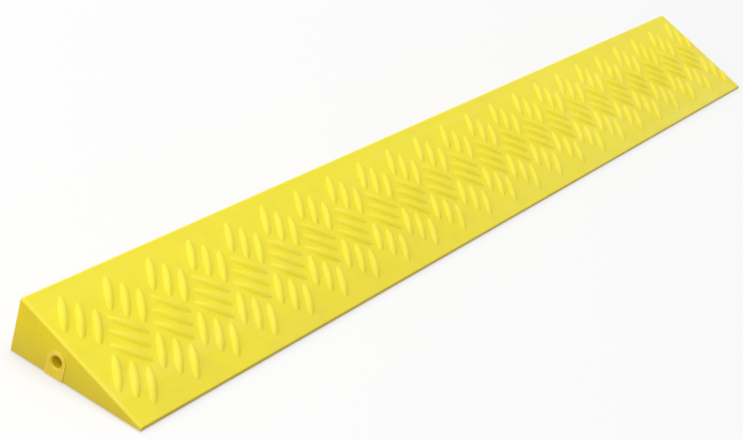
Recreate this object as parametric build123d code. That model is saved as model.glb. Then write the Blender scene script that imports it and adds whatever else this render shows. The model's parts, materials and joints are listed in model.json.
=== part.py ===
from build123d import *
import math
import os

# Threshold ramp: a long wedge of moulded plastic with a raised bar tread, hollow and ribbed underneath.
# A socket pushed into each end wall takes a pin that joins ramps in a row, and rubber feet carry the shell.
# Frame: X along the length, Y from the toe to the back, Z up, origin on the floor under the middle.
# Sizes are in millimetres and degrees.

# Overall size
ramp_length = 1000.0
ramp_depth = 106.0
ramp_height = 40.0  # to the ridge before it is rounded
rim_clearance = 0.8  # from the floor to the shell's rim
toe_thickness = 2.5  # upright nose along the toe

# Shell
deck_wall = 4.0
back_wall = 4.0
end_wall = 4.0
rib_wall = 2.5
rib_spacing = 41.5  # the cross ribs come as near to this as whole bays allow
beam_gap = 2.25  # from the sockets' tabs to the two lengthwise ribs
hollow_low_end = 3.0  # the hollow stops where it gets lower than this
edge_radius = 2.0  # ridge, ends of the deck and upright corners of the back
toe_radius = 0.6

# Tread of raised bars, highest in the middle and pointed at both ends, in groups that stand in three rows
bar_length = 30.7
bar_width = 6.7
bar_height = 2.6
bar_root = 0.8  # how far a bar goes on inside the deck
bar_lean = 50.0  # bars to the ramp's length
stack_lean = 48.5  # direction in which the bars of a group follow each other
bar_spacing = 11.6
bars_in_group = 3
group_spacing = 43.7
first_group = 24.7  # from the left end to the first group of the outer rows
row_spacing = 25.3
tread_drop = 1.3  # middle row below the middle of the deck
tread_margin = 6.0  # plain strip at both ends of the deck, where bars are cut off

# Pin sockets
socket_from_back = 36.6
socket_height = 11.7  # bore axis above the floor
bore_radius = 4.0
bore_depth = 70.0
bore_chamfer = 1.0
socket_wall = 3.2  # round the bore
neck_wall = 2.4  # round the bore, where the socket passes through the end wall
socket_flange = 0.6  # stands out in front of the end wall
socket_round = 0.4  # front edge of the flange
socket_floor = 3.0  # closed inner end
socket_gap = 0.1  # play between socket and shell
tab_offset = 12.0  # bore axis to a screw, to each side
tab_wall = 2.1  # round the screw's hole
tab_thickness = 3.0

# Screws that hold the sockets
screw_radius = 1.75
screw_length = 12.0
screw_head_radius = 3.3
screw_head_height = 2.2
screw_head_round = 0.9
screw_head_sink = 0.4  # head above the shell's rim
screw_tip = 0.8
recess_width = 0.8
recess_span = 3.6
recess_depth = 1.2
screw_hole_gap = 0.15  # play in the socket's tab
thread_gap = 0.05  # play in the post that the screw cuts its thread in
screw_hole_spare = 0.6  # hole beyond the screw's tip
screw_post_wall = 2.2

# Joining pin
pin_gap = 0.08  # running play in the bore, on the radius
pin_end_gap = 0.5  # to the socket's closed end
pin_stub = 9.0  # stands out of the socket when pushed in
pin_chamfer = 1.0
pin_groove_from_socket = 0.5
pin_groove_width = 2.0
pin_groove_depth = 0.8

# Rubber feet
feet_in_row = 6
foot_radius = 7.0
foot_recess = 2.0  # how deep the foot sits in its cup
foot_gap = 0.3
foot_chamfer = 0.5
foot_ring_radius = 4.6
foot_ring_width = 1.2
foot_ring_depth = 0.5
stem_radius = 2.5
stem_length = 4.0
stem_gap = 0.1
stem_hole_spare = 0.3
cup_wall = 1.7
front_foot_from_toe = 36.0
back_foot_from_back = 12.0

# Places worked out from the sizes above
half_length = ramp_length / 2
toe_y = -ramp_depth / 2
back_y = ramp_depth / 2
rim_z = rim_clearance
toe_z = rim_z + toe_thickness
slope = math.atan2(ramp_height - toe_z, ramp_depth)
slope_length = math.hypot(ramp_depth, ramp_height - toe_z)
deck_drop = deck_wall / math.cos(slope)
hollow_front = toe_y + (hollow_low_end + deck_drop - toe_thickness) / math.tan(slope)
hollow_back = back_y - back_wall
bay_count = round((ramp_length - 2 * end_wall) / rib_spacing)
bay_step = (ramp_length - 2 * end_wall) / bay_count
socket_y = back_y - socket_from_back
socket_radius = bore_radius + socket_wall
neck_radius = bore_radius + neck_wall
tab_radius = screw_radius + screw_hole_gap + tab_wall
screw_post_radius = screw_radius + thread_gap + screw_post_wall
cup_radius = foot_radius + foot_gap + cup_wall
beam_offset = tab_offset + tab_radius + beam_gap + rib_wall / 2
mouth_x = half_length + socket_gap + socket_flange
neck_length = end_wall + 2 * socket_gap
socket_length = bore_depth + socket_floor
first_bay_x = socket_flange + socket_gap + end_wall
tab_bay = int((socket_length - tab_radius - first_bay_x) / bay_step - 0.5)
tab_x = first_bay_x + (tab_bay + 0.5) * bay_step  # in the middle of the last bay that the socket fills
tab_z = rim_z + screw_head_sink + screw_head_height
post_z = tab_z + tab_thickness
cup_z = rim_z + foot_recess
deck = Plane(origin=(0, toe_y, toe_z), x_dir=(1, 0, 0), z_dir=(0, -math.sin(slope), math.cos(slope)))


def deck_underside(y):
    return toe_z + (y - toe_y) * math.tan(slope) - deck_drop


def rib_x(index):
    return -half_length + end_wall + index * bay_step


def both_ends(shape):
    return [shape, mirror(shape, about=Plane.YZ)]


def arch(radius, start, length, bottom):
    # A block with a round top over the bore axis and straight sides down to the bottom, along X
    top = Circle(radius)
    legs = Pos(0, (bottom - socket_height) / 2) * Rectangle(2 * radius, socket_height - bottom)
    block = extrude(Plane.YZ * (top + legs), amount=length)
    return Pos(start, 0, socket_height) * block


# Wedge body of the shell
outline = Polygon((toe_y, rim_z), (back_y, rim_z), (back_y, ramp_height), (toe_y, toe_z), align=None)
wedge = extrude(Plane.YZ * outline, amount=half_length, both=True)
deck_face = wedge.faces().sort_by(lambda face: face.normal_at().dot(deck.z_dir))[-1]
rounded = deck_face.edges().sort_by(Axis.Y)[1:]
rounded += wedge.edges().filter_by(Axis.Z).group_by(Axis.Y)[-1]
body = fillet(rounded, edge_radius)
toe_edge = body.edges().filter_by(Axis.X).group_by(Axis.Y)[0].sort_by(Axis.Z)[-1]
body = fillet(toe_edge, toe_radius)

# Hollow bays between the ribs, open at the bottom
column_edges = [hollow_front]
for side in (-1, 1):
    beam_y = socket_y + side * beam_offset
    column_edges += [beam_y - rib_wall / 2, beam_y + rib_wall / 2]
column_edges.append(hollow_back)
bays = []
for index in range(bay_count):
    left = rib_x(index) + (rib_wall / 2 if index > 0 else 0)
    right = rib_x(index + 1) - (rib_wall / 2 if index < bay_count - 1 else 0)
    for front, back in zip(column_edges[0::2], column_edges[1::2]):
        corners = [(front, 0), (back, 0), (back, deck_underside(back)), (front, deck_underside(front))]
        bay = extrude(Plane.YZ * Polygon(*corners, align=None), amount=right - left)
        bays.append(Pos(left, 0, 0) * bay)
shell = body - bays

# Feet stand on cross ribs, clear of the sockets
first_foot_rib = math.ceil((socket_length + cup_radius - end_wall) / bay_step)
foot_step = (bay_count - 2 * first_foot_rib) / (feet_in_row - 1)
foot_xs = [rib_x(round(first_foot_rib + index * foot_step)) for index in range(feet_in_row)]
foot_rows = {"front": toe_y + front_foot_from_toe, "back": back_y - back_foot_from_back}
foot_places = [(x, y) for y in foot_rows.values() for x in foot_xs]
screw_x = mouth_x - tab_x
screw_places = [(side * screw_x, socket_y + way * tab_offset) for side in (-1, 1) for way in (-1, 1)]

# Posts for the feet and the screws hang from the deck
posts = []
for x, y in foot_places:
    posts.append(Pos(x, y, rim_z) * extrude(Circle(cup_radius), amount=ramp_height))
for x, y in screw_places:
    posts.append(Pos(x, y, post_z) * extrude(Circle(screw_post_radius), amount=ramp_height))
shell += [post & wedge for post in posts]

# Cups and stem holes for the feet, holes for the screws, slots and rooms for the sockets
cuts = []
for x, y in foot_places:
    cuts.append(Pos(x, y, 0) * extrude(Circle(foot_radius + foot_gap), amount=cup_z))
    stem_hole = extrude(Circle(stem_radius + stem_gap), amount=cup_z + stem_length + stem_hole_spare)
    cuts.append(Pos(x, y, 0) * stem_hole)
for x, y in screw_places:
    screw_hole = extrude(Circle(screw_radius + thread_gap), amount=screw_length + screw_hole_spare)
    cuts.append(Pos(x, y, tab_z) * screw_hole)
wall_slot = arch(neck_radius + socket_gap, -half_length - socket_flange, end_wall + socket_flange, 0)
room_start = end_wall - half_length
room = arch(socket_radius + socket_gap, room_start, socket_length - mouth_x - room_start + socket_gap, 0)
for cut in (wall_slot, room):
    cuts += both_ends(Pos(0, socket_y, 0) * cut)
shell -= cuts

# A tread bar: the top of a round tube bent into an upright ring, which the deck cuts off
tube_radius = ((bar_width / 2) ** 2 + bar_height**2) / (2 * bar_height)
ring_depth = ((bar_length / 2) ** 2 - bar_height**2) / (2 * bar_height)  # the ring's centre below the deck
ring_radius = ring_depth + bar_height - tube_radius
tube = Plane.YZ * (Pos(0, -ring_radius) * Circle(tube_radius))
ring = Pos(0, 0, -ring_depth) * revolve(tube, axis=Axis.Y)
bar = split(ring, bisect_by=Plane.XY.offset(-bar_root), keep=Keep.TOP)
bar_reach = (bar_length * math.cos(math.radians(bar_lean)) + bar_width) / 2
flat_end = half_length - tread_margin
flat_deck = Box(2 * flat_end, 4 * ramp_depth, 4 * ramp_height)

bars = []
for row in (-1, 0, 1):
    way = -1 if row == 0 else 1  # the middle row leans the other way
    start = first_group + (group_spacing / 2 if row == 0 else 0)
    group_count = int((ramp_length - start) / group_spacing) + 1
    row_v = slope_length / 2 - tread_drop + row * row_spacing
    for index in range(group_count):
        group_x = start + index * group_spacing - half_length
        for step in range(bars_in_group):
            along = (step - (bars_in_group - 1) / 2) * bar_spacing
            x = group_x + along * math.cos(math.radians(stack_lean))
            v = row_v - way * along * math.sin(math.radians(stack_lean))
            placed = deck * (Pos(x, v, 0) * Rot(0, 0, way * bar_lean) * bar)
            overruns = abs(x) + bar_reach > flat_end
            bars.append(placed & flat_deck if overruns else placed)
shell += bars

# Socket: flange in front of the end wall, neck through it, bored block behind it, tab for two screws
flange = arch(socket_radius, 0, socket_flange, rim_z)
flange = fillet(flange.faces().sort_by(Axis.X)[0].edges().sort_by(Axis.Z)[1:], socket_round)
neck = arch(neck_radius, socket_flange, neck_length, rim_z)
block_start = socket_flange + neck_length
block = arch(socket_radius, block_start, socket_length - block_start, rim_z)
tab_outline = Rot(0, 0, 90) * SlotOverall(2 * (tab_offset + tab_radius), 2 * tab_radius)
tab = Pos(tab_x, 0, tab_z) * extrude(tab_outline, amount=tab_thickness)
socket = flange + neck + block + tab
for way in (-1, 1):
    tab_hole = extrude(Circle(screw_radius + screw_hole_gap), amount=tab_thickness)
    socket -= Pos(tab_x, way * tab_offset, tab_z) * tab_hole
bore = extrude(Plane.YZ * Circle(bore_radius), amount=bore_depth)
mouth = Pos(0, 0, bore_chamfer / 2) * Cone(bore_radius + bore_chamfer, bore_radius, bore_chamfer)
socket -= Pos(0, 0, socket_height) * (bore + Rot(0, 90, 0) * mouth)
sockets = both_ends(Pos(-mouth_x, socket_y, 0) * socket)

# Joining pin, kept in the right socket with its grooved end standing out
pin_radius = bore_radius - pin_gap
pin_inner_x = mouth_x - bore_depth + pin_end_gap
pin = extrude(Plane.YZ * Circle(pin_radius), amount=mouth_x + pin_stub - pin_inner_x)
pin = chamfer(pin.edges().filter_by(GeomType.CIRCLE), pin_chamfer)
groove = Circle(2 * pin_radius) - Circle(pin_radius - pin_groove_depth)
groove = extrude(Plane.YZ * groove, amount=pin_groove_width)
pin -= Pos(mouth_x + pin_groove_from_socket - pin_inner_x, 0, 0) * groove
pin = Pos(pin_inner_x, socket_y, socket_height) * pin

# Pan-head screw, head down, with a cross recess
head = Pos(0, 0, -screw_head_height) * extrude(Circle(screw_head_radius), amount=screw_head_height)
head = fillet(head.edges().sort_by(Axis.Z)[0], screw_head_round)
shank = extrude(Circle(screw_radius), amount=screw_length)
shank = chamfer(shank.edges().sort_by(Axis.Z)[-1], screw_tip)
screw = head + shank
for turn in (0, 90):
    blade = Rot(0, 0, turn) * Box(recess_span, recess_width, 2 * recess_depth)
    screw -= Pos(0, 0, -screw_head_height) * blade

# Rubber foot: disc in the cup with a ring groove underneath, stem in the post
foot = extrude(Circle(foot_radius), amount=cup_z)
foot = chamfer(foot.edges().sort_by(Axis.Z)[0], foot_chamfer)
ring = Circle(foot_ring_radius) - Circle(foot_ring_radius - foot_ring_width)
foot -= extrude(ring, amount=foot_ring_depth)
foot += Pos(0, 0, cup_z) * extrude(Circle(stem_radius), amount=stem_length)

os.makedirs("parts", exist_ok=True)
export_step(shell, "parts/ramp_shell.step")
for side, placed in zip(("left", "right"), sockets):
    export_step(placed, f"parts/pin_socket_{side}.step")
export_step(pin, "parts/joining_pin.step")
screw_names = [f"socket_screw_{side}_{way}" for side in ("left", "right") for way in ("front", "back")]
for name, (x, y) in zip(screw_names, screw_places):
    export_step(Pos(x, y, tab_z) * screw, f"parts/{name}.step")
foot_names = [f"grip_foot_{row}_{index + 1}" for row in foot_rows for index in range(feet_in_row)]
for name, (x, y) in zip(foot_names, foot_places):
    export_step(Pos(x, y, 0) * foot, f"parts/{name}.step")
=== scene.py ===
import bpy
import bmesh
import json
import math
from mathutils import Matrix, Vector


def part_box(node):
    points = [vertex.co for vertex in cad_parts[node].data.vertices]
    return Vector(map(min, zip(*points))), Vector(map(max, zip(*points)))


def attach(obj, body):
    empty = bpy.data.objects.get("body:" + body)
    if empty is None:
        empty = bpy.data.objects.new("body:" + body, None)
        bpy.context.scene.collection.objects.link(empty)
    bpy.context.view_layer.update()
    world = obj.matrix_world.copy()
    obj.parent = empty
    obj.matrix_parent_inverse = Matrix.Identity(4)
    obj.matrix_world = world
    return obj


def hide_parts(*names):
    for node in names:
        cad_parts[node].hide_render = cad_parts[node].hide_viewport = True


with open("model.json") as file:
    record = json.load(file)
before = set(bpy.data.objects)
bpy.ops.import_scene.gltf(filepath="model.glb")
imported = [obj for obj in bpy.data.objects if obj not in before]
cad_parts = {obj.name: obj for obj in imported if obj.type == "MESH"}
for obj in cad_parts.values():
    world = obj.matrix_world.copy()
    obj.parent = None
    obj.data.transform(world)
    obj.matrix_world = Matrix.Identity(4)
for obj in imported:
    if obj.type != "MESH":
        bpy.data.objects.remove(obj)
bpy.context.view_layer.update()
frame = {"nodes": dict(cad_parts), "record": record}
nodes = frame["nodes"]
mounts = {m["name"]: m for m in frame["record"]["mounts"]}
scene = bpy.context.scene
print("frame loaded:", len(nodes), "nodes")

# camera fitted to the photograph, in metres and degrees; its lens is in pixels, its sensor in millimetres
cameraView = {
    "azimuth": -64.8233, "elevation": 26.2368, "roll": 16.3608,
    "distance": 1.508094, "aimRight": 0.079265, "aimUp": 0.028169,
    "focalPixels": 1813.65, "imageWidth": 743.0, "sensorWidth": 36.0,
    "nearest": 0.01, "farthest": 60.0,
}

# pale floor, white surroundings, soft boxes overhead, beside the near end and behind the ramp
studio = {
    "floorSize": 24.0, "floorWhite": 0.90,
    "floorBounce": (0.40, 0.26, 0.20),  # what the floor throws back onto the ramp
    "shadowShare": 0.45,  # how much of the floor's white is lit, so that it takes a shadow
    "worldStrength": 0.48, "worldTint": (1.0, 1.0, 1.0),
    "lamps": {
        "overheadBox": {"at": (0.10, 0.30, 3.20), "size": (2.4, 2.4), "power": 47.0, "tint": (1, 1, 1)},
        "nearEndBox": {"at": (-1.80, 0.35, 0.65), "size": (1.9, 0.7), "power": 10.4, "tint": (1, 0.98, 0.95)},
        "backBox": {"at": (0.00, 1.60, 1.20), "size": (2.4, 0.8), "power": 6.5, "tint": (1, 1, 1)},
    },
}


# node helpers

def newMaterial(name):
    mat = bpy.data.materials.new(name)
    mat.use_nodes = True
    mat.node_tree.nodes.clear()
    out = mat.node_tree.nodes.new("ShaderNodeOutputMaterial")
    return mat, mat.node_tree, out


def wire(tree, target, value):
    if isinstance(value, bpy.types.NodeSocket):
        tree.links.new(value, target)
    else:
        target.default_value = value


def calc(tree, how, a, b=0.0):
    node = tree.nodes.new("ShaderNodeMath")
    node.operation = how
    wire(tree, node.inputs[0], a)
    wire(tree, node.inputs[1], b)
    return node.outputs[0]


def blend(tree, share, a, b):
    # colours are sockets or plain red, green and blue
    node = tree.nodes.new("ShaderNodeMix")
    node.data_type = "RGBA"
    wire(tree, node.inputs[0], share)
    for socket, colour in zip(node.inputs[6:8], (a, b)):  # 6 and 7 are the colour inputs
        wire(tree, socket, (*colour, 1) if isinstance(colour, tuple) else colour)
    return node.outputs[2]


def span(tree, value, low, high, outLow=0.0, outHigh=1.0):
    node = tree.nodes.new("ShaderNodeMapRange")
    for socket, v in zip(node.inputs[:5], (value, low, high, outLow, outHigh)):
        wire(tree, socket, v)
    return node.outputs[0]


def ownPlace(tree):
    return tree.nodes.new("ShaderNodeTexCoord").outputs["Object"]


def ownXyz(tree):
    split = tree.nodes.new("ShaderNodeSeparateXYZ")
    tree.links.new(ownPlace(tree), split.inputs[0])
    return split.outputs


def attribute(tree, name):
    node = tree.nodes.new("ShaderNodeAttribute")
    node.attribute_name = name
    return node.outputs["Fac"]


def cloud(tree, scale, detail, stretch=(1, 1, 1)):
    place = tree.nodes.new("ShaderNodeMapping")
    place.inputs["Scale"].default_value = stretch
    tree.links.new(ownPlace(tree), place.inputs["Vector"])
    node = tree.nodes.new("ShaderNodeTexNoise")
    node.inputs["Scale"].default_value = scale
    node.inputs["Detail"].default_value = detail
    tree.links.new(place.outputs[0], node.inputs["Vector"])
    return node.outputs[0]


def patches(tree, noise, band, shares=(0.0, 1.0)):
    # the band of a noise that shows, as shares from none to full
    return span(tree, cloud(tree, *noise), *band, *shares)


def relief(tree, height, depth, below=None):
    node = tree.nodes.new("ShaderNodeBump")
    node.inputs["Strength"].default_value = 1.0
    node.inputs["Distance"].default_value = depth
    tree.links.new(height, node.inputs["Height"])
    if below:
        tree.links.new(below, node.inputs["Normal"])
    return node.outputs[0]


def surface(tree, out, colour, rough, normal, metal=0.0, specular=0.5):
    shader = tree.nodes.new("ShaderNodeBsdfPrincipled")
    tree.links.new(colour, shader.inputs["Base Color"])
    tree.links.new(rough, shader.inputs["Roughness"])
    tree.links.new(normal, shader.inputs["Normal"])
    shader.inputs["Metallic"].default_value = metal
    shader.inputs["Specular IOR Level"].default_value = specular
    tree.links.new(shader.outputs[0], out.inputs["Surface"])


# stage

def addCamera():
    view = cameraView
    a, e, r = (math.radians(view[k]) for k in ("azimuth", "elevation", "roll"))
    back = Vector((math.sin(a) * math.cos(e), -math.cos(a) * math.cos(e), math.sin(e)))
    level = Vector((0, 0, 1)).cross(back).normalized()
    upright = back.cross(level)
    right = level * math.cos(r) + upright * math.sin(r)
    up = upright * math.cos(r) - level * math.sin(r)
    data = bpy.data.cameras.new("photoCamera")
    data.sensor_fit = "HORIZONTAL"
    data.sensor_width = view["sensorWidth"]
    data.lens = view["focalPixels"] / view["imageWidth"] * view["sensorWidth"]
    data.clip_start = view["nearest"]
    data.clip_end = view["farthest"]
    cam = bpy.data.objects.new("photoCamera", data)
    cam.matrix_world = Matrix((right, up, back)).transposed().to_4x4()
    cam.location = back * view["distance"] - right * view["aimRight"] - up * view["aimUp"]
    scene.collection.objects.link(cam)
    scene.camera = cam


def seenRays(tree):
    # 1 where the camera sees a thing, straight or in a reflection, 0 where it only lights others
    path = tree.nodes.new("ShaderNodeLightPath")
    both = calc(tree, "MAXIMUM", path.outputs["Is Camera Ray"], path.outputs["Is Glossy Ray"])
    return calc(tree, "MAXIMUM", both, path.outputs["Is Transmission Ray"])


def mixShaders(tree, share, a, b, out):
    mix = tree.nodes.new("ShaderNodeMixShader")
    tree.links.new(share, mix.inputs[0])
    tree.links.new(a.outputs[0], mix.inputs[1])
    tree.links.new(b.outputs[0], mix.inputs[2])
    tree.links.new(mix.outputs[0], out.inputs["Surface"])


def addWorld():
    world = bpy.data.worlds.new("studioWorld")
    scene.world = world
    world.use_nodes = True
    tree = world.node_tree
    tree.nodes.clear()
    out = tree.nodes.new("ShaderNodeOutputWorld")
    light = tree.nodes.new("ShaderNodeBackground")
    light.inputs["Color"].default_value = (*studio["worldTint"], 1)
    light.inputs["Strength"].default_value = studio["worldStrength"]
    white = tree.nodes.new("ShaderNodeBackground")
    white.inputs["Color"].default_value = (1, 1, 1, 1)
    white.inputs["Strength"].default_value = 1.0
    mixShaders(tree, seenRays(tree), light, white, out)


def addFloor():
    mat, tree, out = newMaterial("paleFloor")
    paint = tree.nodes.new("ShaderNodeBsdfDiffuse")
    colour = blend(tree, seenRays(tree), studio["floorBounce"], (studio["floorWhite"],) * 3)
    tree.links.new(colour, paint.inputs["Color"])
    glow = tree.nodes.new("ShaderNodeEmission")
    glow.inputs["Strength"].default_value = 1.0
    mixShaders(tree, calc(tree, "MULTIPLY", seenRays(tree), 1 - studio["shadowShare"]), paint, glow, out)
    half = studio["floorSize"] / 2
    corners = [(-half, -half, 0), (half, -half, 0), (half, half, 0), (-half, half, 0)]
    mesh = bpy.data.meshes.new("studioFloor")
    mesh.from_pydata(corners, [], [(0, 1, 2, 3)])
    mesh.materials.append(mat)
    floor = bpy.data.objects.new("studioFloor", mesh)
    scene.collection.objects.link(floor)


def addLamps():
    for name, lamp in studio["lamps"].items():
        data = bpy.data.lights.new(name, "AREA")
        data.shape = "RECTANGLE"
        data.size, data.size_y = lamp["size"]
        data.energy = lamp["power"]
        data.color = lamp["tint"]
        obj = bpy.data.objects.new(name, data)
        obj.location = lamp["at"]
        obj.rotation_euler = Vector(lamp["at"]).to_track_quat("Z", "Y").to_euler()  # faces the ramp's middle
        scene.collection.objects.link(obj)


# moulded plastic: a noise is its scale, detail and stretch, and the band after it is the part that shows
plasticPattern = {
    "clouds": ((7.0, 4.0), (0.35, 0.65)),
    "flow": ((1.0, 3.0, (3.0, 55.0, 55.0)), (0.52, 0.80), (0.0, 0.35)),
    "rubbingAndHighlight": ((40.0, 3.0), (0.35, 0.70), (0.4, 0.9)),
    "scratches": ((1.0, 2.0, (900.0, 60.0, 200.0)), (0.66, 0.78)),
    "scuffedAreas": ((16.0, 2.0), (0.50, 0.68)),
    "dust": ((60.0, 6.0), (0.50, 0.72)),
    "grime": ((30.0, 4.0), (0.30, 0.70)),
    "gloss": ((22.0, 3.0), (0.30, 0.70)),
    "rubbedGloss": 0.16,  # rubbed places, which also carry the painted highlight, are this much smoother
    "wave": (38.0, 1.0), "grain": (1700.0, 2.0),
}
shellLook = {
    "body": (0.925, 0.80, 0.029), "deep": (0.905, 0.775, 0.023), "paleAndHighlight": (0.97, 0.92, 0.13),
    "scuff": (0.70, 0.60, 0.10), "scuffs": 0.55, "dustAndShade": (0.42, 0.35, 0.12), "dust": 0.07,
    "rough": (0.38, 0.52), "specular": 0.28, "grain": 0.00006, "wave": 0.00012,
    "grime": (0.20, 0.42), "grimeTop": 0.024,  # painted shade on the walls, from the floor up to this height
    "deckFloorShade": 0.35,  # share of that painted shade on the deck
}
socketLook = {
    "body": (0.94, 0.77, 0.055), "deep": (0.92, 0.74, 0.045), "paleAndHighlight": (0.96, 0.84, 0.17),
    "scuff": (0.66, 0.52, 0.12), "scuffs": 0.55, "dustAndShade": (0.40, 0.31, 0.10), "dust": 0.08,
    "rough": (0.34, 0.48), "specular": 0.35, "grain": 0.00005, "wave": 0.00004,
    "rim": (0.0056, 0.0070),  # the arch's rubbed edge, which carries a painted highlight, out from the pin's axis
    # painted shade deep in the bore, painted light on its floor near the mouth
    "bore": 0.0042, "boreShade": (0.74, 0.49, 0.008), "boreLitFloor": (1.0, 0.86, 0.03),
    "boreLitReach": 0.020, "boreFloor": (0.0030, -0.0010),  # painted light this far in, and below these heights
}


def heightShare(tree, top):
    # 1 at the floor, falling to 0 at the given height
    return span(tree, ownXyz(tree)[2], 0.0, top, 1.0, 0.0)


def fromPinAxis(tree):
    # how far out along the length, and aside and above the pin's axis
    x, y, z = ownXyz(tree)
    return calc(tree, "ABSOLUTE", x), calc(tree, "SUBTRACT", y, socketY), calc(tree, "SUBTRACT", z, socketZ)


def reach(tree, a, b):
    squares = [calc(tree, "MULTIPLY", v, v) for v in (a, b)]
    return calc(tree, "SQRT", calc(tree, "ADD", *squares))


def collarRim(tree, near, far):
    # 0 round the bore, 1 on the outer edge of a socket's arch, where the painted highlight goes
    _, aside, above = fromPinAxis(tree)
    return span(tree, reach(tree, aside, calc(tree, "MAXIMUM", above, 0.0)), near, far)


def boreShading(tree, look, colour):
    # painted shade inside the bore, and painted light on its floor near the mouth
    outward, aside, above = fromPinAxis(tree)
    entry = span(tree, outward, halfLength - look["boreLitReach"], halfLength)
    floor = span(tree, above, *look["boreFloor"])
    paintedBore = blend(tree, calc(tree, "MULTIPLY", entry, floor), look["boreShade"], look["boreLitFloor"])
    return blend(tree, calc(tree, "LESS_THAN", reach(tree, aside, above), look["bore"]), colour, paintedBore)


def mouldedPlastic(name, look):
    # cloudy colour, flow lines along the length, rubbed edges with a painted highlight, scuffs, dust, painted
    # shade near the floor, painted light and shade in the bore and a moulded grain
    pattern = plasticPattern
    mat, tree, out = newMaterial(name)
    colour = blend(tree, patches(tree, *pattern["clouds"]), look["deep"], look["body"])
    colour = blend(tree, patches(tree, *pattern["flow"]), colour, look["paleAndHighlight"])
    edges = collarRim(tree, *look["rim"]) if "rim" in look else attribute(tree, "wearAndHighlight")
    # rubbed edges, collar rims and bar crests turn pale, which is also a painted highlight
    edgeWearAndHighlight = calc(tree, "MULTIPLY", edges, patches(tree, *pattern["rubbingAndHighlight"]))
    colour = blend(tree, edgeWearAndHighlight, colour, look["paleAndHighlight"])
    scuffed = patches(tree, *pattern["scuffedAreas"], (0.0, look["scuffs"]))
    marks = calc(tree, "MULTIPLY", patches(tree, *pattern["scratches"]), scuffed)
    colour = blend(tree, marks, colour, look["scuff"])
    colour = blend(tree, patches(tree, *pattern["dust"], (0.0, look["dust"])), colour, look["dustAndShade"])
    if "grime" in look:
        # painted shade: darker towards the floor, fully on the walls and less on the deck
        nearFloor = calc(tree, "MULTIPLY", heightShare(tree, look["grimeTop"]), attribute(tree, "floorShadeShare"))
        grime = calc(tree, "MULTIPLY", nearFloor, patches(tree, *pattern["grime"], look["grime"]))
        colour = blend(tree, grime, colour, look["dustAndShade"])
    if "bore" in look:
        colour = boreShading(tree, look, colour)
    rough = patches(tree, *pattern["gloss"], look["rough"])
    rough = calc(tree, "SUBTRACT", rough, calc(tree, "MULTIPLY", edgeWearAndHighlight, pattern["rubbedGloss"]))
    normal = relief(tree, cloud(tree, *pattern["wave"]), look["wave"])
    normal = relief(tree, cloud(tree, *pattern["grain"]), look["grain"], normal)
    surface(tree, out, colour, rough, normal, specular=look["specular"])
    return mat


steelLook = {
    "bright": (0.66, 0.67, 0.67), "dull": (0.47, 0.47, 0.46),
    "plating": (260.0, 4.0), "platingBand": (0.35, 0.65), "rough": (0.22, 0.42), "roughBand": (0.3, 1.0),
    "pitch": 0.00045, "groove": 0.000006, "wander": 0.6, "lineShare": 0.3,
    "waveTurn": 20.0,  # radians that a wave texture of scale 1 turns in a metre
}


def turnedSteel(name, look):
    # zinc-plated rod: cloudy plating over fine turning lines round the pin's axis
    mat, tree, out = newMaterial(name)
    plating = cloud(tree, *look["plating"])
    colour = blend(tree, span(tree, plating, *look["platingBand"]), look["dull"], look["bright"])
    lines = tree.nodes.new("ShaderNodeTexWave")
    lines.bands_direction = "X"
    lines.inputs["Scale"].default_value = 2 * math.pi / look["waveTurn"] / look["pitch"]
    lines.inputs["Distortion"].default_value = look["wander"]
    tree.links.new(ownPlace(tree), lines.inputs["Vector"])
    grooves = lines.outputs["Fac"]
    uneven = calc(tree, "ADD", plating, calc(tree, "MULTIPLY", grooves, look["lineShare"]))
    rough = span(tree, uneven, *look["roughBand"], *look["rough"])
    surface(tree, out, colour, rough, relief(tree, grooves, look["groove"]), metal=1.0)
    return mat


screwLook = {
    "bright": (0.62, 0.61, 0.57), "dull": (0.40, 0.38, 0.33), "plating": ((420.0, 4.0), (0.35, 0.68)),
    "rough": (0.28, 0.50), "gloss": ((700.0, 2.0), (0.3, 0.7)), "dents": (900.0, 2.0), "dentDepth": 0.00002,
}


def platedSteel(name, look):
    mat, tree, out = newMaterial(name)
    colour = blend(tree, patches(tree, *look["plating"]), look["dull"], look["bright"])
    rough = patches(tree, *look["gloss"], look["rough"])
    surface(tree, out, colour, rough, relief(tree, cloud(tree, *look["dents"]), look["dentDepth"]), metal=1.0)
    return mat


rubberLook = {
    "black": (0.018, 0.018, 0.019), "worn": (0.05, 0.049, 0.047), "wornAreas": ((130.0, 4.0), (0.35, 0.7)),
    "dust": (0.16, 0.15, 0.13), "dusty": ((620.0, 4.0), (0.60, 0.75), (0.0, 0.4)),
    "rough": (0.66, 0.86), "gloss": ((240.0, 2.0), (0.3, 0.7)), "specular": 0.3,
    "grain": (1500.0, 2.0), "grainDepth": 0.00005,
}


def mattRubber(name, look):
    mat, tree, out = newMaterial(name)
    colour = blend(tree, patches(tree, *look["wornAreas"]), look["black"], look["worn"])
    colour = blend(tree, patches(tree, *look["dusty"]), colour, look["dust"])
    rough = patches(tree, *look["gloss"], look["rough"])
    normal = relief(tree, cloud(tree, *look["grain"]), look["grainDepth"])
    surface(tree, out, colour, rough, normal, specular=look["specular"])
    return mat


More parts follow.
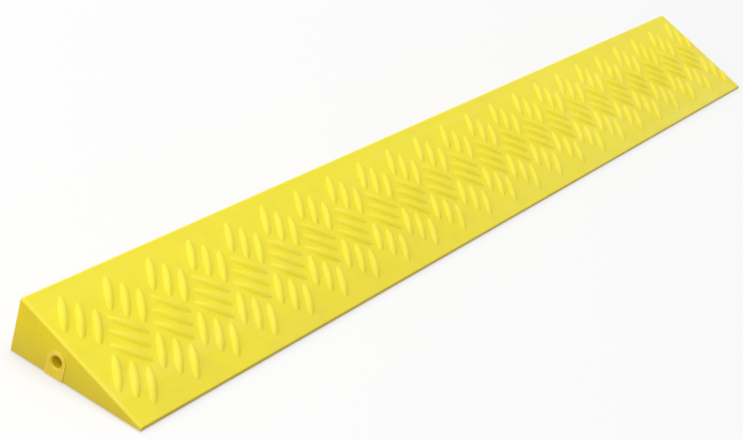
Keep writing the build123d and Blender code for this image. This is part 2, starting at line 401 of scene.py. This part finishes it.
# shell: sizes in metres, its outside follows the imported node's box
shellShape = {
    "toeNose": 0.0025, "ridge": 0.040, "deckWall": 0.004, "backWall": 0.004, "endWall": 0.004,
    "ribWall": 0.0025, "bays": 24, "beamFromSocket": 0.0195, "lowestHollow": 0.003,
    "edgeRound": 0.002, "ridgeRound": 0.0031, "edgeSteps": 5, "toeRound": 0.0006, "toeSteps": 3,
    "rimRound": 0.0003, "rimSteps": 1, "bayRound": 0.0009, "baySteps": 2, "bayDraft": 0.0003,
    "archSides": 24, "cutRoom": 0.002,  # cutters start this far outside the shell
    "sharpAngle": 40.0, "flatWeight": 100,  # for smooth shading
    "samePlace": 1e-6, "deckSkin": 1e-5,  # nearer than this is the same place, or still the deck
    "wallRise": 0.5,  # a face whose normal rises less is a wall
}
low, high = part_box("ramp_shell")
halfLength, toeY, backY, rimZ = high.x, low.y, high.y, low.z
toeZ = rimZ + shellShape["toeNose"]
cutZ = rimZ - shellShape["cutRoom"]
slope = math.atan2(shellShape["ridge"] - toeZ, backY - toeY)
slopeLength = math.hypot(shellShape["ridge"] - toeZ, backY - toeY)
deckDrop = shellShape["deckWall"] / math.cos(slope)
deckOrigin = Vector((0, toeY, toeZ))
deckNormal = Vector((0, -math.sin(slope), math.cos(slope)))
socketY, socketZ = mounts["pin_socket_bore"]["pos_m"][1:]
bayStep = (2 * halfLength - 2 * shellShape["endWall"]) / shellShape["bays"]
workbench = []  # helper objects, cleared once the shell is made


def deckUnder(y):
    return toeZ + (y - toeY) * math.tan(slope) - deckDrop


def aboveDeck(p):
    return (p - deckOrigin).dot(deckNormal)


def benchObject(name, mesh):
    obj = bpy.data.objects.new(name, mesh)
    scene.collection.objects.link(obj)
    workbench.append(obj)
    return obj


def meshFrom(bm, name):
    bmesh.ops.recalc_face_normals(bm, faces=bm.faces)
    mesh = bpy.data.meshes.new(name)
    bm.to_mesh(mesh)
    bm.free()
    return mesh


def plainMesh(obj):
    dg = bpy.context.evaluated_depsgraph_get()
    return bpy.data.meshes.new_from_object(obj.evaluated_get(dg))


def cutWith(obj, how, tool):
    mod = obj.modifiers.new(tool.name, "BOOLEAN")
    mod.operation = how
    mod.solver = "MANIFOLD"
    mod.object = tool


def roundEdges(bm, edges, radius, steps):
    bmesh.ops.bevel(
        bm, geom=edges, offset=radius, offset_type="OFFSET", segments=steps, profile=0.5, affect="EDGES")


def prism(points, x0, x1):
    # closed block: an outline in Y and Z, drawn out along X
    bm = bmesh.new()
    ends = [[bm.verts.new((x, y, z)) for y, z in points] for x in (x0, x1)]
    bm.faces.new(ends[0])
    bm.faces.new(ends[1])
    for i in range(len(points)):
        j = (i + 1) % len(points)
        bm.faces.new((ends[0][i], ends[0][j], ends[1][j], ends[1][i]))
    return bm


def lathe(profile, centre, sides, roof=None):
    # closed turned block about an upright axis, from radius and height; no height means up to the roof
    bm = bmesh.new()
    rings = []
    for r, z in profile:
        ring = []
        for i in range(sides):
            a = 2 * math.pi * i / sides
            x, y = centre.x + r * math.cos(a), centre.y + r * math.sin(a)
            ring.append(bm.verts.new((x, y, roof(y) if z is None else z)))
        rings.append(ring)
    bm.faces.new(rings[0])
    bm.faces.new(rings[-1])
    for a, b in zip(rings, rings[1:]):
        for i in range(sides):
            j = (i + 1) % sides
            bm.faces.new((a[i], a[j], b[j], b[i]))
    return bm


def joined(parts):
    # several blocks as one mesh
    bm = bmesh.new()
    for part in parts:
        mesh = meshFrom(part, "part")
        bm.from_mesh(mesh)
        bpy.data.meshes.remove(mesh)
    return bm


def edgesWhere(bm, test):
    return [e for e in bm.edges if all(test(v.co) for v in e.verts)]


def wedgeBlock():
    # large rounds on the deck's edges and the back corners, small ones at the toe and the rim
    shape, same = shellShape, shellShape["samePlace"]
    outline = [(toeY, rimZ), (backY, rimZ), (backY, shape["ridge"]), (toeY, toeZ)]
    bm = prism(outline, -halfLength, halfLength)
    weight = bm.edges.layers.float.new("bevel_weight_edge")

    def onDeck(p):
        return abs(aboveDeck(p)) < same

    def atBack(p):
        return abs(p.y - backY) < same

    outer = [e for e in edgesWhere(bm, onDeck) if not all(abs(v.co.y - toeY) < same for v in e.verts)]
    outer += [e for e in edgesWhere(bm, atBack) if abs(e.verts[0].co.z - e.verts[1].co.z) > same]
    for e in outer:
        alongRidge = all(atBack(v.co) and onDeck(v.co) for v in e.verts)
        e[weight] = 1.0 if alongRidge else shape["edgeRound"] / shape["ridgeRound"]
    block = benchObject("wedge", meshFrom(bm, "wedge"))
    rounds = block.modifiers.new("rounds", "BEVEL")
    rounds.limit_method = "WEIGHT"
    rounds.width = shape["ridgeRound"]
    rounds.segments = shape["edgeSteps"]
    bm = bmesh.new()
    bm.from_mesh(plainMesh(block))
    bm.edges.layers.float.remove(bm.edges.layers.float["bevel_weight_edge"])
    toe = edgesWhere(bm, lambda p: abs(p.y - toeY) < same and p.z > rimZ + same)
    roundEdges(bm, toe, shape["toeRound"], shape["toeSteps"])
    rim = edgesWhere(bm, lambda p: abs(p.z - rimZ) < same)
    roundEdges(bm, rim, shape["rimRound"], shape["rimSteps"])
    return meshFrom(bm, "wedge")


def bayBlock(x0, x1, front, back):
    # hollow of one bay: open below, draught on its sides, rounded roots
    d = shellShape["bayDraft"]
    bm = bmesh.new()
    mouth = ((x0, front), (x1, front), (x1, back), (x0, back))
    roof = ((x0 + d, front + d), (x1 - d, front + d), (x1 - d, back - d), (x0 + d, back - d))
    lower = [bm.verts.new((x, y, cutZ)) for x, y in mouth]
    upper = [bm.verts.new((x, y, deckUnder(y))) for x, y in roof]
    bm.faces.new(lower)
    bm.faces.new(upper)
    for i in range(4):
        j = (i + 1) % 4
        bm.faces.new((lower[i], lower[j], upper[j], upper[i]))
    roots = [e for e in bm.edges if not all(v in lower for v in e.verts)]
    roundEdges(bm, roots, shellShape["bayRound"], shellShape["baySteps"])
    return bm


def archBlock(radius, x0, x1):
    # round top over the pin's axis, straight sides down past the rim
    turns = [math.pi * i / shellShape["archSides"] for i in range(shellShape["archSides"] + 1)]
    points = [(socketY + radius * math.cos(a), socketZ + radius * math.sin(a)) for a in turns]
    points += [(socketY - radius, cutZ), (socketY + radius, cutZ)]
    return prism(points, min(x0, x1), max(x0, x1))


# geometry nodes: a tree with named inputs, and an object that it grows on
def treeWith(name, wanted):
    tree = bpy.data.node_groups.new(name, "GeometryNodeTree")
    ids = {}
    for label, kind in wanted.items():
        socket = tree.interface.new_socket(name=label, in_out="INPUT", socket_type="NodeSocket" + kind)
        ids[label] = socket.identifier
    tree.interface.new_socket(name="Geometry", in_out="OUTPUT", socket_type="NodeSocketGeometry")
    return tree, ids, tree.nodes.new("NodeGroupInput").outputs


def endTree(tree, instances, material):
    real = tree.nodes.new("GeometryNodeRealizeInstances")
    tree.links.new(instances, real.inputs["Geometry"])
    finish = tree.nodes.new("GeometryNodeSetMaterial")
    tree.links.new(real.outputs["Geometry"], finish.inputs["Geometry"])
    tree.links.new(material, finish.inputs["Material"])
    out = tree.nodes.new("NodeGroupOutput")
    tree.links.new(finish.outputs["Geometry"], out.inputs["Geometry"])


def grownOn(name, tree, ids, values):
    holder = benchObject(name, bpy.data.meshes.new(name))
    mod = holder.modifiers.new(name, "NODES")
    mod.node_group = tree
    for label, value in values.items():
        mod[ids[label]] = value
    return holder


# bays, posts and cups: one blank set out in a row
def copiesTree():
    tree, ids, given = treeWith("rowOfCopies", {
        "Blank": "Object", "Count": "Int", "First": "Vector", "Step": "Vector", "Finish": "Material",
    })
    line = tree.nodes.new("GeometryNodeMeshLine")
    line.mode = "OFFSET"
    blank = tree.nodes.new("GeometryNodeObjectInfo")
    place = tree.nodes.new("GeometryNodeInstanceOnPoints")
    link = tree.links.new
    link(given["Blank"], blank.inputs["Object"])
    link(given["Count"], line.inputs["Count"])
    link(given["First"], line.inputs["Start Location"])
    link(given["Step"], line.inputs["Offset"])
    link(line.outputs["Mesh"], place.inputs["Points"])
    link(blank.outputs["Geometry"], place.inputs["Instance"])
    endTree(tree, place.outputs["Instances"], given["Finish"])
    return tree, ids


rowTree, rowInputs = copiesTree()


def rowOf(block, count, first, step, finish):
    blank = benchObject("blank", meshFrom(block, "blank"))
    values = {"Blank": blank, "Count": count, "First": first, "Step": step, "Finish": finish}
    holder = grownOn("row", rowTree, rowInputs, values)
    bm = bmesh.new()
    bm.from_mesh(plainMesh(holder))
    holder.modifiers.clear()
    return bm


# tread: pointed bars in groups of three, in three rows, the middle row leaning the other way
treadBars = {
    "length": 0.0307, "width": 0.0067, "height": 0.0026, "sink": 0.00006, "flare": 1.10, "tip": 1.02,
    "lean": 50.0, "stackLean": 48.5, "spacing": 0.0116, "perGroup": 3, "rows": 3,
    "groupSpacing": 0.0437, "firstGroup": 0.0247, "rowSpacing": 0.0253, "drop": 0.0013,
    "margin": 0.006, "marginTop": 0.1,  # plain strip at both ends of the deck, cut up to this height
    "stations": (0.18, 0.52, 0.80, 0.95),  # shares of the half length
    "across": (0.92, 0.56),  # shares of the section's turn, from its crest
    # the bars' crests get this share of rubbed pale and painted highlight
    "wearAndHighlight": 0.35,
}


def barBlank():
    # top of a round tube bent into an upright ring; the feet flare out into the deck
    bar = treadBars
    tube = (bar["width"] ** 2 / 4 + bar["height"] ** 2) / (2 * bar["height"])
    depth = (bar["length"] ** 2 / 4 - bar["height"] ** 2) / (2 * bar["height"])
    ring = depth + bar["height"] - tube
    bm = bmesh.new()
    rows = []
    for share in [-k for k in bar["stations"][::-1]] + list(bar["stations"]):
        s = share * bar["length"] / 2
        turn = math.acos((math.hypot(s, depth) - ring) / tube)
        half = [(tube * math.sin(turn) * bar["flare"], -bar["sink"])]
        for part in bar["across"] + (0.0,):
            crown = ring + tube * math.cos(turn * part)
            half.append((tube * math.sin(turn * part), math.sqrt(crown**2 - s**2) - depth))
        section = [(-n, z) for n, z in half] + half[-2::-1]
        rows.append([bm.verts.new((s, n, z)) for n, z in section])
    tips = [bm.verts.new((way * bar["length"] / 2 * bar["tip"], 0, -bar["sink"])) for way in (-1, 1)]
    for a, b in zip(rows, rows[1:]):
        for i in range(len(a) - 1):
            bm.faces.new((a[i], a[i + 1], b[i + 1], b[i]))
    for tip, row in zip(tips, (rows[0], rows[-1])):
        for i in range(len(row) - 1):
            bm.faces.new((tip, row[i], row[i + 1]))
    bm.faces.new([tips[0]] + [row[0] for row in rows] + [tips[1]] + [row[-1] for row in rows[::-1]])
    return meshFrom(bm, "barBlank")


def treadTree():
    tree, ids, given = treeWith("treadField", {
        "Blank": "Object", "Rows": "Int", "Groups": "Int", "Per Group": "Int", "Half Length": "Float",
        "First Group": "Float", "Group Spacing": "Float", "Bar Spacing": "Float", "Middle": "Float",
        "Row Spacing": "Float", "Lean": "Float", "Stack Lean": "Float", "Slope": "Float", "Toe": "Vector",
        "Finish": "Material",
    })
    link = tree.links.new

    def maths(how, a, b=0.0):
        return calc(tree, how, a, b)

    def middleOf(count):
        return maths("DIVIDE", maths("SUBTRACT", count, 1.0), 2.0)

    def wholeTimes(value, size):
        return maths("FLOOR", maths("DIVIDE", maths("ADD", value, 0.5), size))

    def vector(**parts):
        node = tree.nodes.new("ShaderNodeCombineXYZ")
        for axis, value in parts.items():
            link(value, node.inputs[axis.upper()])
        return node.outputs[0]

    index = tree.nodes.new("GeometryNodeInputIndex").outputs[0]
    perGroup, groupSpacing = given["Per Group"], given["Group Spacing"]
    perRow = maths("MULTIPLY", given["Groups"], perGroup)
    row = maths("SUBTRACT", wholeTimes(index, perRow), middleOf(given["Rows"]))
    inRow = maths("MODULO", index, perRow)
    group = wholeTimes(inRow, perGroup)
    step = maths("SUBTRACT", maths("MODULO", inRow, perGroup), middleOf(perGroup))
    inner = maths("SUBTRACT", 1.0, maths("ABSOLUTE", row))  # 1 in the middle row, 0 in the outer ones
    way = maths("SUBTRACT", 1.0, maths("MULTIPLY", inner, 2.0))
    along = maths("MULTIPLY", step, given["Bar Spacing"])
    shift = maths("MULTIPLY", inner, maths("DIVIDE", groupSpacing, 2.0))
    start = maths("ADD", maths("SUBTRACT", shift, given["Half Length"]), given["First Group"])
    groupX = maths("ADD", start, maths("MULTIPLY", group, groupSpacing))
    x = maths("ADD", groupX, maths("MULTIPLY", along, maths("COSINE", given["Stack Lean"])))
    down = maths("MULTIPLY", maths("MULTIPLY", along, maths("SINE", given["Stack Lean"])), way)
    rowUp = maths("ADD", given["Middle"], maths("MULTIPLY", row, given["Row Spacing"]))
    points = tree.nodes.new("GeometryNodePoints")
    link(maths("MULTIPLY", perRow, given["Rows"]), points.inputs["Count"])
    link(vector(x=x, y=maths("SUBTRACT", rowUp, down)), points.inputs["Position"])
    blank = tree.nodes.new("GeometryNodeObjectInfo")
    link(given["Blank"], blank.inputs["Object"])
    place = tree.nodes.new("GeometryNodeInstanceOnPoints")
    link(points.outputs[0], place.inputs["Points"])
    link(maths("LESS_THAN", groupX, given["Half Length"]), place.inputs["Selection"])  # none past the far end
    link(blank.outputs["Geometry"], place.inputs["Instance"])
    link(vector(z=maths("MULTIPLY", way, given["Lean"])), place.inputs["Rotation"])
    onDeck = tree.nodes.new("GeometryNodeTransform")
    link(place.outputs[0], onDeck.inputs["Geometry"])
    link(given["Toe"], onDeck.inputs["Translation"])
    link(vector(x=given["Slope"]), onDeck.inputs["Rotation"])
    endTree(tree, onDeck.outputs[0], given["Finish"])
    return tree, ids


def treadMesh(finish):
    bar = treadBars
    holder = grownOn("tread", *treadTree(), {
        "Blank": benchObject("barBlank", barBlank()), "Rows": bar["rows"],
        "Groups": int((2 * halfLength - bar["firstGroup"]) / bar["groupSpacing"]) + 1,
        "Per Group": bar["perGroup"], "Half Length": halfLength, "First Group": bar["firstGroup"],
        "Group Spacing": bar["groupSpacing"], "Bar Spacing": bar["spacing"],
        "Middle": slopeLength / 2 - bar["drop"], "Row Spacing": bar["rowSpacing"],
        "Lean": math.radians(bar["lean"]), "Stack Lean": math.radians(bar["stackLean"]),
        "Slope": slope, "Toe": deckOrigin, "Finish": finish,
    })
    end, top = halfLength - bar["margin"], bar["marginTop"]
    between = prism([(toeY, rimZ), (backY, rimZ), (backY, top), (toeY, top)], -end, end)
    cutWith(holder, "INTERSECT", benchObject("betweenMargins", meshFrom(between, "betweenMargins")))
    mesh = plainMesh(holder)
    holder.modifiers.clear()
    return mesh


# posts, cups and holes under the deck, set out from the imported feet, screws and sockets
underParts = {
    "cupWall": 0.0017, "cupEdge": 0.0003, "cupSides": 40, "footGap": 0.0003,
    "stemRadius": 0.0026, "stemLength": 0.004, "stemRoom": 0.0003, "postLap": 0.0015,
    "screwPost": 0.0040, "screwPostLow": 0.0064, "screwPostSides": 24,
    "screwHole": 0.0018, "screwHoleLow": 0.003, "screwHoleSides": 20, "screwRoom": 0.0006,
    "slotGap": 0.0001, "neck": 0.0064, "block": 0.0072,
}


def boxCentre(name):
    lo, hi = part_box(name)
    return (lo + hi) / 2, lo, hi


def postTop(y):
    return deckUnder(y) + underParts["postLap"]


def bayHollows(finish):
    # three columns of bays between the long ribs; the end bays reach the end walls
    shape = shellShape
    columns = [toeY + (shape["lowestHollow"] + deckDrop - shape["toeNose"]) / math.tan(slope)]
    rib = shape["ribWall"] / 2
    for way in (-1, 1):
        beam = socketY + way * shape["beamFromSocket"]
        columns += [beam - rib, beam + rib]
    columns.append(backY - shape["backWall"])
    inner = -halfLength + shape["endWall"]
    along = (bayStep, 0, 0)
    hollows = []
    for front, back in zip(columns[0::2], columns[1::2]):
        bay = bayBlock(inner + rib, inner + bayStep - rib, front, back)
        hollows.append(rowOf(bay, shape["bays"] - 2, along, along, finish))
        hollows.append(bayBlock(inner, inner + bayStep - rib, front, back))
        hollows.append(bayBlock(-inner - bayStep + rib, -inner, front, back))
    return hollows


def footPosts(finish):
    # a post with a cup over each foot, and the room that the foot and its stem take
    under, sides = underParts, underParts["cupSides"]
    posts, holes = [], []
    for row in ("front", "back"):
        places = [boxCentre(n) for n in sorted(nodes) if n.startswith(f"grip_foot_{row}")]
        first, lo, hi = places[0]
        step = (places[1][0].x - first.x, 0, 0)
        cup = (hi.x - lo.x) / 2 + under["footGap"]
        outer, edge, stem = cup + under["cupWall"], under["cupEdge"], under["stemRadius"]
        cupTop = hi.z - under["stemLength"]
        stemTop = hi.z + under["stemRoom"]
        post = lathe([(outer - edge, rimZ), (outer, rimZ + edge), (outer, None)], first, sides, postTop)
        room = lathe([(cup, cutZ), (cup, cupTop), (stem, cupTop), (stem, stemTop)], first, sides)
        posts.append(rowOf(post, len(places), (0, 0, 0), step, finish))
        holes.append(rowOf(room, len(places), (0, 0, 0), step, finish))
    return posts, holes


def screwPosts():
    under = underParts
    posts, holes = [], []
    for centre, _, hi in [boxCentre(n) for n in nodes if n.startswith("socket_screw")]:
        post = [(under["screwPost"], under["screwPostLow"]), (under["screwPost"], None)]
        posts.append(lathe(post, centre, under["screwPostSides"], postTop))
        hole = [(under["screwHole"], under["screwHoleLow"]), (under["screwHole"], hi.z + under["screwRoom"])]
        holes.append(lathe(hole, centre, under["screwHoleSides"]))
    return posts, holes


def socketSlots():
    # the neck goes through the end wall, the wider block sits behind it
    gap = underParts["slotGap"]
    necks, blocks = [], []
    for name in ("pin_socket_left", "pin_socket_right"):
        centre, lo, hi = boxCentre(name)
        side = 1 if centre.x > 0 else -1
        outside = side * (halfLength + shellShape["cutRoom"])
        wall = side * (halfLength - shellShape["endWall"])
        deep = (lo.x if side > 0 else hi.x) - side * gap
        necks.append(archBlock(underParts["neck"] + gap, outside, wall))
        blocks.append(archBlock(underParts["block"] + gap, wall, deep))
    return necks, blocks


def wearAndHighlightShare(p):
    # rubbed pale and painted highlight: 1 on a sharp outer edge, 0 where its round ends; the bars' crests a
    # little
    lift = aboveDeck(p)
    if lift > shellShape["deckSkin"]:
        return treadBars["wearAndHighlight"] * min(1.0, lift / treadBars["height"])
    toEnd, toBack, toDeck = halfLength - abs(p.x), backY - p.y, -lift
    nearest = min(math.hypot(toEnd, toDeck), math.hypot(toBack, toDeck), math.hypot(toEnd, toBack))
    return max(0.0, 1 - nearest / shellShape["edgeRound"])


def addWearHighlightAndShade(mesh):
    wearAndHighlight = mesh.attributes.new("wearAndHighlight", "FLOAT", "POINT")
    for v in mesh.vertices:
        wearAndHighlight.data[v.index].value = wearAndHighlightShare(v.co)
    # painted shade share: full on the walls, less on the deck and the bars
    floorShadeShare = mesh.attributes.new("floorShadeShare", "FLOAT", "FACE")
    for face in mesh.polygons:
        underDeck = aboveDeck(face.center) < shellShape["deckSkin"]
        wall = underDeck and abs(face.normal.z) < shellShape["wallRise"]
        floorShadeShare.data[face.index].value = 1.0 if wall else shellLook["deckFloorShade"]


def smoothed(mesh):
    # flats stay flat, the rounds carry the turn
    mesh.polygons.foreach_set("use_smooth", [True] * len(mesh.polygons))
    mesh.set_sharp_from_angle(angle=math.radians(shellShape["sharpAngle"]))
    draft = benchObject("shellDraft", mesh)
    flats = draft.modifiers.new("flats", "WEIGHTED_NORMAL")
    flats.mode = "FACE_AREA"
    flats.weight = shellShape["flatWeight"]
    flats.keep_sharp = True
    return plainMesh(draft)


def buildShell(finish):
    body = benchObject("shellBody", wedgeBlock())
    body.data.materials.append(finish)
    hollows = bayHollows(finish)
    posts, holes = (a + b for a, b in zip(footPosts(finish), screwPosts()))
    necks, blocks = socketSlots()
    steps = [("DIFFERENCE", hollows), ("UNION", posts)]
    steps += [("DIFFERENCE", [block]) for block in blocks]
    steps.append(("DIFFERENCE", holes + necks))
    for how, parts in steps:
        tool = benchObject("tool", meshFrom(joined(parts), "tool"))
        tool.data.materials.append(finish)
        cutWith(body, how, tool)
    cutWith(body, "UNION", benchObject("treadBars", treadMesh(finish)))
    mesh = plainMesh(body)
    body.modifiers.clear()
    mesh = smoothed(mesh)
    mesh.name = "rampShell"
    addWearHighlightAndShade(mesh)
    mesh.materials.clear()
    mesh.materials.append(finish)
    shell = bpy.data.objects.new("rampShell", mesh)
    scene.collection.objects.link(shell)
    for obj in workbench:
        bpy.data.objects.remove(obj)
    workbench.clear()
    return shell


def reportShell(mesh):
    bm = bmesh.new()
    bm.from_mesh(mesh)
    loose = sum(1 for e in bm.edges if not e.is_manifold)
    volume = round(bm.calc_volume() * 1e6, 1)
    print("shell:", len(mesh.polygons), "faces,", loose, "open edges, volume", volume, "cm3")
    bm.free()


addCamera()
addWorld()
addFloor()
addLamps()
print("stage: floor, camera and", len(studio["lamps"]), "lamps")
shellPlastic = mouldedPlastic("shellPlastic", shellLook)
finishes = {
    "ramp_shell": shellPlastic, "pin_socket": mouldedPlastic("socketPlastic", socketLook),
    "joining_pin": turnedSteel("pinSteel", steelLook), "socket_screw": platedSteel("screwSteel", screwLook),
    "grip_foot": mattRubber("footRubber", rubberLook),
}
for name, obj in nodes.items():
    mat = next(m for start, m in finishes.items() if name.startswith(start))
    for slot in obj.material_slots:
        slot.material = mat
print("finishes:", len(finishes), "materials on", len(nodes), "nodes")
shell = buildShell(shellPlastic)
reportShell(shell.data)
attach(shell, "ramp")
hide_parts("ramp_shell")
scene.view_settings.view_transform = "Standard"
